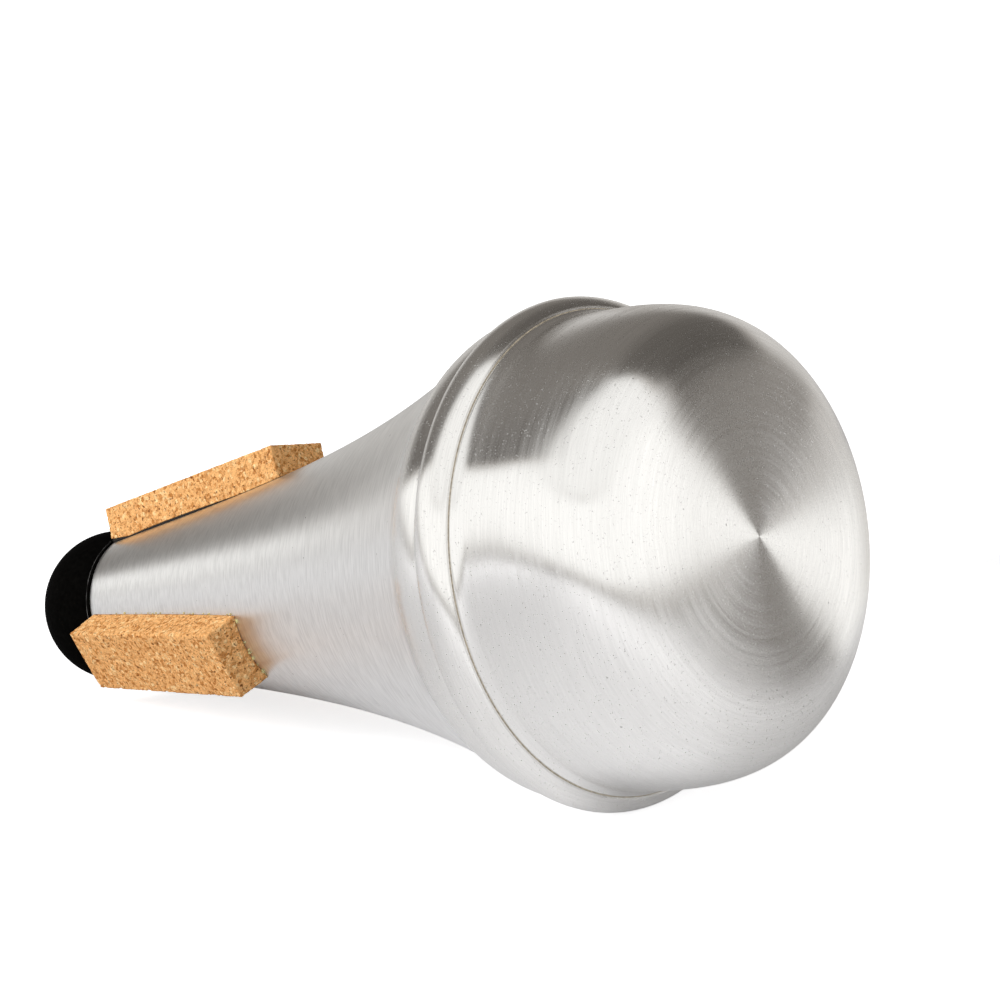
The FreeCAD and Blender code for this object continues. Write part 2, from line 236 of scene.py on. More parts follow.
# Sets the tree's inputs by their identifiers and turns its result into a plain mesh
def applyTree(piece, tree, values):
    modifier = piece.modifiers.new(tree.name, "NODES")
    modifier.node_group = tree
    for socket in tree.interface.items_tree:
        if socket.in_out == "INPUT" and socket.name in values:
            modifier[socket.identifier] = values[socket.name]
    view = bpy.context.evaluated_depsgraph_get()
    mesh = bpy.data.meshes.new_from_object(piece.evaluated_get(view))
    piece.modifiers.remove(modifier)
    source = piece.data
    piece.data = mesh
    bpy.data.meshes.remove(source)


def turnOutward(mesh):
    shell = bmesh.new()
    shell.from_mesh(mesh)
    bmesh.ops.recalc_face_normals(shell, faces=shell.faces)
    shell.to_mesh(mesh)
    shell.free()


def addPiece(name, mesh):
    piece = bpy.data.objects.new(name, mesh)
    scene.collection.objects.link(piece)
    return piece


def pathMesh(name, points):
    mesh = bpy.data.meshes.new(name)
    mesh.from_pydata(points, [(number, number + 1) for number in range(len(points) - 1)], [])
    return mesh


spinTree = makeSpinTree()


def spinPiece(name, points, segments, material):
    mesh = pathMesh(name, [(p.x, 0, p.y) for p in points])
    run = mesh.attributes.new("run", "FLOAT", "POINT")
    travelled = 0
    for number, point in enumerate(points):
        travelled += (point - points[number - 1]).length if number else 0
        run.data[number].value = travelled
    piece = addPiece(name, mesh)
    inputs = {"Segments": segments, "Rows": len(points), "Material": material}
    applyTree(piece, spinTree, inputs)
    turnOutward(piece.data)
    piece.data.transform(muteFrame)
    piece.data.name = name
    return piece


def claim(piece, node):
    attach(piece, "root")
    if node:
        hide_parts(node)


# Materials

def newMaterial(name):
    material = bpy.data.materials.new(name)
    material.use_nodes = True
    nodes = material.node_tree.nodes
    return material, nodes, material.node_tree.links.new, nodes["Principled BSDF"]


def noiseNode(nodes, link, place, scale, detail=2.0, roughness=0.5):
    node = nodes.new("ShaderNodeTexNoise")
    node.inputs["Scale"].default_value = scale
    node.inputs["Detail"].default_value = detail
    node.inputs["Roughness"].default_value = roughness
    link(place, node.inputs["Vector"])
    return node.outputs[0]


def rampNode(nodes, link, source, stops):
    node = nodes.new("ShaderNodeValToRGB")
    marks = node.color_ramp.elements
    while len(marks) < len(stops):
        marks.new(0.5)
    for mark, (position, colour) in zip(marks, stops):
        mark.position = position
        mark.color = (*colour, 1)
    link(source, node.inputs[0])
    return node.outputs[0]


def grey(level):
    return (level, level, level)


# From one level to another while the source crosses the edge
def fadeNode(nodes, link, source, edge, first, last):
    return rampNode(nodes, link, source, list(zip(edge, (grey(first), grey(last)))))


def rangeNode(nodes, link, source, given, wanted):
    node = nodes.new("ShaderNodeMapRange")
    for slot, value in zip(("From Min", "From Max", "To Min", "To Max"), (*given, *wanted)):
        node.inputs[slot].default_value = value
    link(source, node.inputs["Value"])
    return node.outputs[0]


def mixNode(nodes, link, factor, first, second, blend="MIX"):
    node = nodeWith(nodes, "ShaderNodeMix", data_type="RGBA", blend_type=blend)
    for slot, source in ((0, factor), (6, first), (7, second)):
        if isinstance(source, (int, float)):
            node.inputs[slot].default_value = source
        elif isinstance(source, tuple):
            node.inputs[slot].default_value = (*source, 1)
        else:
            link(source, node.inputs[slot])
    return node.outputs[2]


def addBump(nodes, link, shader, height, strength, depth):
    bump = nodes.new("ShaderNodeBump")
    bump.inputs["Strength"].default_value = strength
    bump.inputs["Distance"].default_value = depth
    link(height, bump.inputs["Height"])
    link(bump.outputs[0], shader.inputs["Normal"])


def spinParts(tree):
    return partsOf(tree, nodeWith(tree.nodes, "ShaderNodeUVMap", uv_map="spin").outputs[0])


# Round and along the spun surface, without a seam where the turn closes
def spinCoordinates(material, ringScale, turnScale):
    tree = material.node_tree
    around, along = spinParts(tree)[:2]
    angle = mathNode(tree, "MULTIPLY", around, math.tau)
    joined = tree.nodes.new("ShaderNodeCombineXYZ")
    turns = (mathNode(tree, "COSINE", angle), mathNode(tree, "SINE", angle))
    for slot, turn in enumerate(turns):
        tree.links.new(mathNode(tree, "MULTIPLY", turn, turnScale), joined.inputs[slot])
    tree.links.new(mathNode(tree, "MULTIPLY", along, ringScale), joined.inputs[2])
    return joined.outputs[0]


metalLooks = {    # rings are counted in a millimetre and turns round the piece
    "flank": {
        "colour": (0.915, 0.912, 0.905), "roughness": 0.36, "anisotropic": 0.5,
        "fineRings": 1.9, "fineTurns": 7, "ringTone": 0.86, "wideRings": 0.5,
        "roughnessSpread": 0.02, "grainRings": 2.4, "grainTurns": 70, "grainDepth": 0.0008,
        "glint": 0.0,
    },
    "rim": {
        "colour": (0.885, 0.875, 0.86), "roughness": 0.22, "anisotropic": 0.95,
        "fineRings": 4.5, "fineTurns": 7, "ringTone": 0.92, "wideRings": 0.8,
        "roughnessSpread": 0.03, "grainRings": 2.4, "grainTurns": 80, "grainDepth": 0.0018,
        "glint": 0.26,
    },
    "bowl": {
        "colour": (0.885, 0.877, 0.865), "roughness": 0.21, "anisotropic": 1.0,
        "fineRings": 3.2, "fineTurns": 5, "ringTone": 0.94, "wideRings": 1.6,
        "roughnessSpread": 0.032, "grainRings": 2.6, "grainTurns": 80, "grainDepth": 0.003,
        "glint": 0.26,
    },
}
metalShared = {
    "brushTurn": 0.25, "wideTurns": 0.6, "ringEdge": (0.36, 0.62), "glossEdge": (0.3, 0.7),
    "stainsPerMetre": 1100, "stainEdge": (0.79, 0.81), "stainShare": 0.6,
    "stain": (0.2, 0.19, 0.18), "glintsPerMetre": 2300, "glintEdge": (0.68, 0.72),
    "grainStrength": 1.0,
}


def makeMetal(name, look):
    material, nodes, link, shader = newMaterial(name)
    shader.inputs["Metallic"].default_value = 1
    shader.inputs["Anisotropic"].default_value = look["anisotropic"]
    shader.inputs["Anisotropic Rotation"].default_value = metalShared["brushTurn"]
    tangent = nodeWith(nodes, "ShaderNodeTangent", direction_type="UV_MAP", uv_map="spin")
    link(tangent.outputs[0], shader.inputs["Tangent"])

    rings = spinCoordinates(material, look["fineRings"], look["fineTurns"])
    fine = noiseNode(nodes, link, rings, 1.0, 3.0, 0.6)
    tone = fadeNode(nodes, link, fine, metalShared["ringEdge"], look["ringTone"], 1.0)
    colour = mixNode(nodes, link, 1.0, look["colour"], tone, "MULTIPLY")
    place = nodes.new("ShaderNodeTexCoord").outputs["Object"]
    stains = noiseNode(nodes, link, place, metalShared["stainsPerMetre"], 1.0)
    edge, most = metalShared["stainEdge"], metalShared["stainShare"]
    stained = fadeNode(nodes, link, stains, edge, 0, most)
    body = mixNode(nodes, link, stained, colour, metalShared["stain"])
    link(body, shader.inputs["Base Color"])

    bands = spinCoordinates(material, look["wideRings"], metalShared["wideTurns"])
    wide = noiseNode(nodes, link, bands, 1.0)
    least, most = (look["roughness"] + sign * look["roughnessSpread"] for sign in (-1, 1))
    gloss = rangeNode(nodes, link, wide, metalShared["glossEdge"], (least, most))
    glints = noiseNode(nodes, link, place, metalShared["glintsPerMetre"], 1.0)
    glinting = fadeNode(nodes, link, glints, metalShared["glintEdge"], 0, look["glint"])
    link(mathNode(material.node_tree, "ADD", gloss, glinting), shader.inputs["Roughness"])

    streaks = spinCoordinates(material, look["grainRings"], look["grainTurns"])
    grain = noiseNode(nodes, link, streaks, 1.0)
    depth = look["grainDepth"] * rest["metresPerUnit"]
    addBump(nodes, link, shader, grain, metalShared["grainStrength"], depth)
    return material


rubberLook = {
    "colour": (0.0012, 0.0011, 0.001), "dusty": (0.003, 0.0028, 0.0025), "dustEdge": (0.35, 0.8),
    # the pale edge tone and its width paint a highlight along the lip's edge, partly dust
    "roughness": 0.7, "indexOfRefraction": 1.035, "dustAndHighlightTone": (0.2, 0.195, 0.19), "dustAndHighlightWidth": 0.2,
    "patchesPerMetre": 420, "patchEdge": (0.38, 0.62), "leastDustAndHighlight": 0.15,
    "grainPerMetre": 900, "bumpStrength": 0.2, "bumpDepth": 0.0001,
}


# The thin lip's edge, which lies at lipRun on the outline, is painted pale: a painted highlight
# line, partly dust
def makeRubber(lipRun):
    material, nodes, link, shader = newMaterial("blackRubber")
    tree = material.node_tree
    place = nodes.new("ShaderNodeTexCoord").outputs["Object"]
    grain = noiseNode(nodes, link, place, rubberLook["grainPerMetre"], 4.0, 0.6)
    tones = zip(rubberLook["dustEdge"], (rubberLook["colour"], rubberLook["dusty"]))
    tone = rampNode(nodes, link, grain, list(tones))

    # Painted highlight along the lip's edge, partly dust, broken into patches
    away = mathNode(tree, "ABSOLUTE", mathNode(tree, "SUBTRACT", spinParts(tree)[1], lipRun))
    near = mathNode(tree, "LESS_THAN", away, rubberLook["dustAndHighlightWidth"])
    patches = noiseNode(nodes, link, place, rubberLook["patchesPerMetre"])
    patchyDustAndHighlight = fadeNode(nodes, link, patches, rubberLook["patchEdge"], rubberLook["leastDustAndHighlight"], 1)
    dustAndHighlightMask = mathNode(tree, "MULTIPLY", near, patchyDustAndHighlight)
    body = mixNode(nodes, link, dustAndHighlightMask, tone, rubberLook["dustAndHighlightTone"])
    link(body, shader.inputs["Base Color"])
    shader.inputs["Roughness"].default_value = rubberLook["roughness"]
    shader.inputs["IOR"].default_value = rubberLook["indexOfRefraction"]
    addBump(nodes, link, shader, grain, rubberLook["bumpStrength"], rubberLook["bumpDepth"])
    return material


corkLook = {
    "tan": (0.79, 0.42, 0.165), "deep": (0.46, 0.185, 0.05), "pale": (0.88, 0.60, 0.30),
    "tanSpan": (0.42, 0.82), "granulesPerMetre": 1350, "warpPerMetre": 700, "warpReach": 0.0007,
    "grainPerMetre": 2600, "grainTones": ((0.33, 0.6), (0.54, 1.0), (0.68, 1.25)),
    "flecksPerMetre": 1500, "fleckEdge": (0.615, 0.65), "fleckShare": 0.85,
    "fleck": (0.11, 0.035, 0.012), "roughness": 0.85, "indexOfRefraction": 1.1,
    "bumpStrength": 0.7, "bumpDepth": 0.0003,
}


def makeCork():
    material, nodes, link, shader = newMaterial("compositeCork")
    place = nodes.new("ShaderNodeTexCoord").outputs["Object"]
    warp = noiseNode(nodes, link, place, corkLook["warpPerMetre"])
    shifted = nodeWith(nodes, "ShaderNodeVectorMath", operation="MULTIPLY_ADD")
    shifted.inputs[1].default_value = (corkLook["warpReach"],) * 3
    link(warp.node.outputs["Color"], shifted.inputs[0])
    link(place, shifted.inputs[2])

    granules = nodes.new("ShaderNodeTexVoronoi")
    granules.inputs["Scale"].default_value = corkLook["granulesPerMetre"]
    link(shifted.outputs[0], granules.inputs["Vector"])
    pick = nodes.new("ShaderNodeSeparateColor")
    link(granules.outputs["Color"], pick.inputs[0])
    tan, (tanFrom, tanTo) = corkLook["tan"], corkLook["tanSpan"]
    stops = [(0.0, corkLook["deep"]), (tanFrom, tan), (tanTo, tan), (1.0, corkLook["pale"])]
    tones = rampNode(nodes, link, pick.outputs[0], stops)

    fine = noiseNode(nodes, link, place, corkLook["grainPerMetre"], 5.0, 0.65)
    stops = [(level, grey(tone)) for level, tone in corkLook["grainTones"]]
    body = mixNode(nodes, link, 1.0, tones, rampNode(nodes, link, fine, stops), "MULTIPLY")
    spots = noiseNode(nodes, link, place, corkLook["flecksPerMetre"], 2.5, 0.55)
    flecked = fadeNode(nodes, link, spots, corkLook["fleckEdge"], 0, corkLook["fleckShare"])
    body = mixNode(nodes, link, flecked, body, corkLook["fleck"])
    link(body, shader.inputs["Base Color"])
    shader.inputs["Roughness"].default_value = corkLook["roughness"]
    shader.inputs["IOR"].default_value = corkLook["indexOfRefraction"]
    addBump(nodes, link, shader, fine, corkLook["bumpStrength"], corkLook["bumpDepth"])
    return material


glueShared = {"blotchesPerMetre": 1400, "darkShare": 0.55, "blotchEdge": (0.35, 0.65)}
glueLooks = {                  # colour and roughness
    # near black: painted shade in the gap under the corks, partly glue
    "glueFilmAndGapShade": ((0.012, 0.008, 0.005), 0.6),
    "glueCrumbs": ((0.70, 0.62, 0.28), 0.4),
    "sealant": ((0.60, 0.52, 0.40), 0.5),
}


def makeGlue(name, colour, roughness):
    material, nodes, link, shader = newMaterial(name)
    place = nodes.new("ShaderNodeTexCoord").outputs["Object"]
    blotches = noiseNode(nodes, link, place, glueShared["blotchesPerMetre"], 3.0)
    darker = tuple(part * glueShared["darkShare"] for part in colour)
    stops = list(zip(glueShared["blotchEdge"], (darker, colour)))
    link(rampNode(nodes, link, blotches, stops), shader.inputs["Base Color"])
    shader.inputs["Roughness"].default_value = roughness
    return material


flankMetal = makeMetal("spunAluminiumFlank", metalLooks["flank"])
rimMetal = makeMetal("spunAluminiumRim", metalLooks["rim"])
bowlMetal = makeMetal("spunAluminiumBowl", metalLooks["bowl"])
cork = makeCork()
gapShadeFilmGlue, crumbGlue, sealantGlue = (makeGlue(name, *look) for name, look in glueLooks.items())
print("materials made")


# Cone: flank, bead, band and rolled lip in one spun sheet

rim = {
    "lipRadius": 49.75, "lipEdge": 0.65, "lipAt": 36.5, "lipLand": 0.9, "bandRise": 3.05,
    "bandLength": 8.1, "creaseRise": 1.05, "ridgeLand": 0.7, "beadLength": 10.85,
    "beadRadius": 14.2, "flankInset": 3.65, "sheet": 0.9, "cornerSoftness": 0.16,
    "segments": 256,
}
flank = {
    "mouthRadius": 16.4, "length": 129.5, "firstShare": 0.374, "secondShare": 0.2076,
    "wall": 0.93,
}
crestRadius = rim["lipRadius"] + rim["bandRise"]
lipOuter = rim["lipRadius"] + rim["lipEdge"]
creaseRadius = rim["lipRadius"] + rim["creaseRise"]
creaseAt = rim["lipAt"] + rim["bandLength"]
flankAt = creaseAt + rim["beadLength"]
flankStart = rim["lipRadius"] - rim["flankInset"]
mouthAt = flankAt + flank["length"]


def flankPoles(lift):
    fall = flankStart - flank["mouthRadius"]
    radii = [
        flankStart,
        flank["mouthRadius"] + flank["firstShare"] * fall,
        flank["mouthRadius"] + flank["secondShare"] * fall,
        flank["mouthRadius"],
    ]
    stations = [flankAt + flank["length"] * step / 3 for step in range(4)]
    return [(radius + lift, station) for radius, station in zip(radii, stations)]


def flankRadius(station):
    share = (station - flankAt) / flank["length"]
    return curvePoint(flankPoles(0), share).x


def makeCone():
    ridge = creaseRadius - rim["sheet"]
    landTop = rim["lipAt"] + rim["lipLand"]
    ridgeLow, ridgeHigh = creaseAt - rim["ridgeLand"], creaseAt + rim["ridgeLand"]
    bandArc = bulgeRadius(rim["bandLength"] / 2, crestRadius - (lipOuter + creaseRadius) / 2)
    hollowArc = bulgeRadius(
        (ridgeLow - landTop) / 2, crestRadius - rim["sheet"] - (rim["lipRadius"] + ridge) / 2)
    crease, shoulder = (creaseRadius, creaseAt), (flankStart, flankAt)
    innerShoulder = (flankStart - flank["wall"], flankAt)
    runs = [
        [(rim["lipRadius"], landTop), (rim["lipRadius"], rim["lipAt"])],
        arcPoints((lipOuter, rim["lipAt"]), crease, bandArc, -1, 26),
        arcPoints(crease, shoulder, rim["beadRadius"], -1, 16),
        curvePoints(flankPoles(0), 64),
        curvePoints(flankPoles(-flank["wall"])[::-1], 40),
        arcPoints(innerShoulder, (ridge, ridgeHigh), rim["beadRadius"] - rim["sheet"], 1, 12),
        arcPoints((ridge, ridgeLow), (rim["lipRadius"], landTop), hollowArc, 1, 16),
    ]
    points = joinRuns(runs, True, rim["cornerSoftness"])
    cone = spinPiece("spunCone", points, rim["segments"], rimMetal)
    cone.data.materials.clear()
    cone.data.materials.append(rimMetal)
    cone.data.materials.append(flankMetal)
    place = muteFrame.inverted()
    for face in cone.data.polygons:
        face.material_index = int((place @ face.center).z > flankAt)
    claim(cone, "cone_shell")


# End bowl: flat centre, rounded corner, shoulder at the seam and the skirt inside the rim

bowl = {
    "flatRadius": 21.0, "turnLength": 26.6, "facePullShare": 0.644, "sidePullShare": 0.074,
    "innerPull": 0.36, "sideInset": 0.99, "shoulderLength": 2.8, "shoulderToLip": 0.5,
    "seamGap": 0.1, "skirtPastRidge": 1.2, "cornerSoftness": 0.2, "discKink": 0.65,
    "discSteps": 14, "segments": 256,
}


def makeBowl():
    skirt = rim["lipRadius"] - bowl["seamGap"]
    side = skirt + bowl["seamGap"] - bowl["sideInset"]
    sheet = rim["sheet"]
    shoulderEnd = rim["lipAt"] - bowl["shoulderToLip"]
    shoulderStart = shoulderEnd - bowl["shoulderLength"]
    skirtEnd = creaseAt + rim["ridgeLand"] + bowl["skirtPastRidge"]
    facePole = bowl["flatRadius"] + bowl["facePullShare"] * (side - bowl["flatRadius"])
    sidePole = bowl["sidePullShare"] * bowl["turnLength"]
    shoulderArc = bulgeRadius(bowl["shoulderLength"], skirt - side)
    outer = [
        (bowl["flatRadius"], 0), (facePole, bowl["discKink"]),
        (side, sidePole), (side, bowl["turnLength"])]
    pull = bowl["innerPull"]
    inner = [
        (side - sheet, bowl["turnLength"]), (side - sheet, sidePole + pull),
        (facePole - pull, sheet), (bowl["flatRadius"], sheet)]
    discSteps = bowl["discSteps"]
    runs = [
        [(bowl["flatRadius"] * step / discSteps, 0) for step in range(discSteps + 1)],
        curvePoints(outer, 64),
        arcPoints((side, shoulderStart), (skirt, shoulderEnd), shoulderArc, 1, 8),
        [(skirt, skirtEnd), (skirt - sheet, skirtEnd)],
        arcPoints((skirt - sheet, shoulderEnd), (side - sheet, shoulderStart), shoulderArc, -1, 5),
        curvePoints(inner, 30),
        [(0, sheet)],
    ]
    points = joinRuns(runs, False, bowl["cornerSoftness"])
    piece = spinPiece("endBowl", points, bowl["segments"], bowlMetal)
    claim(piece, "end_bowl")


# Nose: black rubber with a thin lip against the metal and a fat round body

nose = {
    "boreRadius": 6.5, "boreRound": 1.2, "fit": 0.1, "spigotLength": 12.0, "neckLength": 4.0,
    "barb": 0.5, "lead": 1.2, "lipRise": 0.4, "bulgeRise": 1.26, "ballRise": 1.84,
    "lipLength": 1.0, "ballReach": 8.6, "ballTurnDegrees": 39.5, "endLand": 1.165,
    "cornerSoftness": 0.3, "segments": 160,
}


def makeNose():
    mouth = flank["mouthRadius"]
    neck = mouth - flank["wall"] - nose["fit"]
    barb = neck + nose["barb"]
    spigotAt, barbHigh = mouthAt - nose["spigotLength"], mouthAt - nose["neckLength"]
    lip, lipEnd = mouth + nose["lipRise"], mouthAt + nose["lipLength"]
    ball = mouth + nose["ballRise"]
    ballRadius = nose["bulgeRise"] - nose["ballRise"]
    ballAt = mouthAt + nose["ballReach"]
    turn = math.radians(nose["ballTurnDegrees"])
    landRadius = nose["boreRadius"] + nose["boreRound"] + nose["endLand"]
    core = (landRadius - ballRadius) / math.cos(turn)
    endRound = ball - core
    end = ballAt + core * math.sin(turn) + endRound
    grooveReach = math.sqrt(ball ** 2 - (nose["ballReach"] - nose["lipLength"]) ** 2)
    groove = (ballRadius + grooveReach, lipEnd)
    turned = (ballRadius + ball * math.cos(turn), ballAt + ball * math.sin(turn))
    bore, boreRound = nose["boreRadius"], nose["boreRound"]
    runs = [
        [(bore, spigotAt), (neck - nose["lead"], spigotAt)],
        [(barb, spigotAt + nose["neckLength"]), (barb, barbHigh - nose["barb"]), (neck, barbHigh)],
        [(neck, mouthAt), (lip, mouthAt), (lip, lipEnd)],
        arcPoints(groove, turned, ball, -1, 36),
        arcPoints(turned, (landRadius, end), endRound, -1, 14),
        arcPoints((bore + boreRound, end), (bore, end - boreRound), boreRound, -1, 8),
        [(bore, spigotAt)],
    ]
    points = joinRuns(runs, True, nose["cornerSoftness"])
    rubber = makeRubber(runTo(points, (lip, lipEnd)))
    piece = spinPiece("noseBumper", points, nose["segments"], rubber)
    claim(piece, "nose_bumper")


# Corks: granular blocks with nibbled edges, hollowed underneath to the cone

corks = {
    "length": 57.0, "lift": 6.6, "setback": 0.6, "film": 0.05, "edgeRound": 0.3,
    "cell": 0.4, "chipDepth": 0.5, "chipReach": 1.3, "grainDepth": 0.1, "pitDepth": 0.6,
    "archEnd": 0.76, "noseGapEnd": 0.13, "deepest": 14.0, "halvings": 22, "cellsFrom": 10.0,
}
corkShapes = {
    # widths and sideways shifts are given at the narrow and the wide end; the gaps are under
    # the cork, and endCut is how much shorter its outer face is than its underside
    "top": {
        "widths": (15.4, 15.8), "shifts": (0.0, 0.0), "towardsNose": 2.3, "extraLength": 2.0,
        "noseGap": 0.9, "middleGap": 0.42, "endCut": 0.5,
    },
    "back": {
        "widths": (15.6, 15.8), "shifts": (0.0, 0.0), "towardsNose": 0.0, "extraLength": 0.0,
        "noseGap": 0.0, "middleGap": 0.0, "endCut": 0.3,
    },
    "front": {
        "widths": (15.3, 16.5), "shifts": (-0.62, -0.1), "towardsNose": 0.7, "extraLength": 0.4,
        "noseGap": 0.0, "middleGap": 0.0, "endCut": 1.0,
    },
}
nibbles = {       # scales of the coarse and the fine noise, and the fine one's share
    "seedStep": (31.7, 11.3, 0), "grain": (1.6, 3.4, 0.6), "grainFrom": 0.5,
    "chip": (1.1, 2.6, 0.4), "chipFrom": 0.12,
    "pit": 0.75, "pitShift": (7, 3, 5), "pitFrom": 0.55, "pitSpan": 0.2,
}
films = {"inset": 0.12, "alongCells": 90, "acrossCells": 20, "lowest": 0.004, "headroom": 0.03}


# How high the cork's underside stands over the metal at a share of its length
def standOff(side, share):
    shape = corkShapes[side]
    middleGap = shape["middleGap"] * math.sin(math.pi * min(1, share / corks["archEnd"]))
    return corks["film"] + max(middleGap, shape["noseGap"] * (1 - share / corks["noseGapEnd"]), 0)


# How far the block reaches in from its outer face before it meets the glue
def corkDepth(radius, station, across, slope, film):
    scale = math.sqrt(1 + slope ** 2)
    low, high = 0.0, corks["deepest"]
    for _ in range(corks["halvings"]):
        middle = (low + high) / 2
        r = radius - middle / scale
        s = station - middle * slope / scale
        if math.hypot(r, across) > flankRadius(s) + film:
            low = middle
        else:
            high = middle
    return low


# Vertices and faces on the surface of a block of cells, numbered by their cell corners
def blockSurface(counts):
    numbers, faces = {}, []

    def number(corner):
        return numbers.setdefault(corner, len(numbers))

    for axis in range(3):
        first, second = (axis + 1) % 3, (axis + 2) % 3
        for level in (0, counts[axis]):
            for i in range(counts[first]):
                for j in range(counts[second]):
                    face = []
                    for di, dj in ((0, 0), (1, 0), (1, 1), (0, 1)):
                        corner = [0, 0, 0]
                        corner[axis], corner[first], corner[second] = level, i + di, j + dj
                        face.append(number(tuple(corner)))
                    faces.append(face if level else face[::-1])
    return list(numbers), faces


def layeredNoise(spot, coarse, fine, fineShare):
    return noise.noise(spot * coarse) + fineShare * noise.noise(spot * fine)


# Nibbled edges, coarse grain and a few pits, all by noise at fixed places
def roughen(point, outward, edgeNearness, seed):
    spot = point + Vector([seed * step for step in nibbles["seedStep"]])
    grain = layeredNoise(spot, *nibbles["grain"])
    chip = max(0, layeredNoise(spot, *nibbles["chip"]) - nibbles["chipFrom"])
    pit = noise.noise(spot * nibbles["pit"] + Vector(nibbles["pitShift"])) - nibbles["pitFrom"]
    inward = corks["grainDepth"] * (nibbles["grainFrom"] - grain)
    inward += corks["chipDepth"] * chip * edgeNearness
    inward += corks["pitDepth"] * min(1, max(0, pit) / nibbles["pitSpan"])
    return point - outward * max(0, inward)


class CorkFrame:               # where a cork lies, by shares of its length and its width
    def __init__(self, side):
        shape = corkShapes[side]
        self.side = side
        self.widths, self.shifts = shape["widths"], shape["shifts"]
        self.length = corks["length"] + shape["extraLength"]
        self.endCut = shape["endCut"] / self.length
        self.narrowAt = mouthAt - corks["setback"] + shape["towardsNose"]
        ends = (mouthAt - corks["setback"], mouthAt - corks["setback"] - corks["length"])
        low, high = (flankRadius(station) + corks["lift"] for station in ends)
        self.slope = (high - low) / corks["length"]
        self.scale = math.sqrt(1 + self.slope ** 2)
        self.lowRadius = low - self.slope * shape["towardsNose"]

    def width(self, share):
        return self.widths[0] + (self.widths[1] - self.widths[0]) * share

    def across(self, share, widthShare):
        shift = self.shifts[0] + (self.shifts[1] - self.shifts[0]) * share
        return (widthShare - 0.5) * self.width(share) + shift

    def outer(self, share):
        radius = self.lowRadius + self.slope * self.length * share
        return radius, self.narrowAt - self.length * share

    def depth(self, share, across):
        radius, station = self.outer(share)
        return corkDepth(radius, station, across, self.slope, standOff(self.side, share))


def corkPlace(turnNumber):
    spacing = math.radians(rest["corkSpacingDegrees"])
    return muteFrame @ Matrix.Rotation(spacing * turnNumber, 4, "Z")


def placePiece(name, vertices, faces, material, turnNumber):
    mesh = bpy.data.meshes.new(name)
    mesh.from_pydata(vertices, [], faces)
    mesh.materials.append(material)
    turnOutward(mesh)
    mesh.transform(corkPlace(turnNumber))
    mesh.shade_smooth()
    return addPiece(name, mesh)


def makeCorkBlock(side, turnNumber):
    block = CorkFrame(side)
    along = block.length * block.scale
    extents = (along, block.widths[1], corks["cellsFrom"])
    counts = [max(2, round(extent / corks["cell"])) for extent in extents]
    corners, faces = blockSurface(counts)
    depths, vertices = {}, []
    for cell in corners:
        share = [cell[axis] / counts[axis] for axis in range(3)]
        across = block.across(share[0], share[1])
        key = cell[:2]
        if key not in depths:
            depths[key] = block.depth(share[0], across)
        depth = depths[key]
        middle = block.across(share[0], 0.5)
        local = Vector(((share[0] - 0.5) * along, across - middle, (share[2] - 0.5) * depth))
        half = Vector((along / 2, block.width(share[0]) / 2, depth / 2))
        edge = corks["edgeRound"]
        core = Vector([max(edge - h, min(h - edge, c)) for h, c in zip(half, local)])
        away = local - core
        outward = away.normalized() if away.length else Vector((0, 0, 1))
        rounded = core + outward * edge
        gaps = sorted(h - abs(c) for h, c in zip(half, local))
        nearness = max(0, 1 - gaps[1] / corks["chipReach"])
        if cell[2]:            # the underside stays smooth
            rounded = roughen(rounded, outward, nearness, turnNumber + 1)
        trim = 1 - block.endCut * (rounded.z / depth + 0.5)
        radius, station = block.outer((rounded.x / along + 0.5) * trim)
        drop = (depth / 2 - rounded.z) / block.scale
        vertices.append((radius - drop, rounded.y + middle, station - drop * block.slope))
    piece = placePiece("cork" + side.capitalize(), vertices, faces, cork, turnNumber)
    claim(piece, "cork_" + side)


# The glue between a cork and the metal, near black where the cork stands off: a dark sheet of
# painted shade in the gap, partly glue
def makeFilm(side, turnNumber):
    block = CorkFrame(side)
    counts = (films["alongCells"], films["acrossCells"], 1)
    corners, faces = blockSurface(counts)
    vertices = []
    margin = films["inset"] / block.widths[0]
    for cell in corners:
        share = margin + (1 - 2 * margin) * cell[0] / counts[0]
        across = block.across(share, margin + (1 - 2 * margin) * cell[1] / counts[1])
        station = min(mouthAt, block.outer(share)[1] - block.slope * block.depth(share, across))
        height = standOff(side, share) - films["headroom"] if cell[2] else films["lowest"]
        radius = flankRadius(station) + max(height, 2 * films["lowest"] * cell[2])
        vertices.append((math.sqrt(radius ** 2 - across ** 2), across, station))
    # near-black film: painted shade in the gap, partly glue
    piece = placePiece("film" + side.capitalize(), vertices, faces, gapShadeFilmGlue, turnNumber)
    claim(piece, "glue_" + side)


# Crumbs: a Geometry Nodes tree scatters small lumps of squeezed-out glue along a path

def randomNode(tree, kind, low, high, seed, step):
    node = nodeWith(tree.nodes, "FunctionNodeRandomValue", data_type=kind)
    ends = [socket for socket in node.inputs if socket.enabled and socket.name in ("Min", "Max")]
    for socket, value in zip(ends, (low, high)):
        if hasattr(value, "is_output"):
            tree.links.new(value, socket)
        else:
            socket.default_value = value
    tree.links.new(mathNode(tree, "ADD", seed, step), node.inputs["Seed"])
    return next(socket for socket in node.outputs if socket.enabled)


crumbLump = {"subdivisions": 3, "waves": 1.3, "dent": 0.9, "fullTurn": 6.28}
crumbInputs = {
    "Count": "Int", "Share": "Float", "Smallest": "Float", "Largest": "Float", "Scatter": "Float",
    "Seed": "Int", "Material": "Material",
}


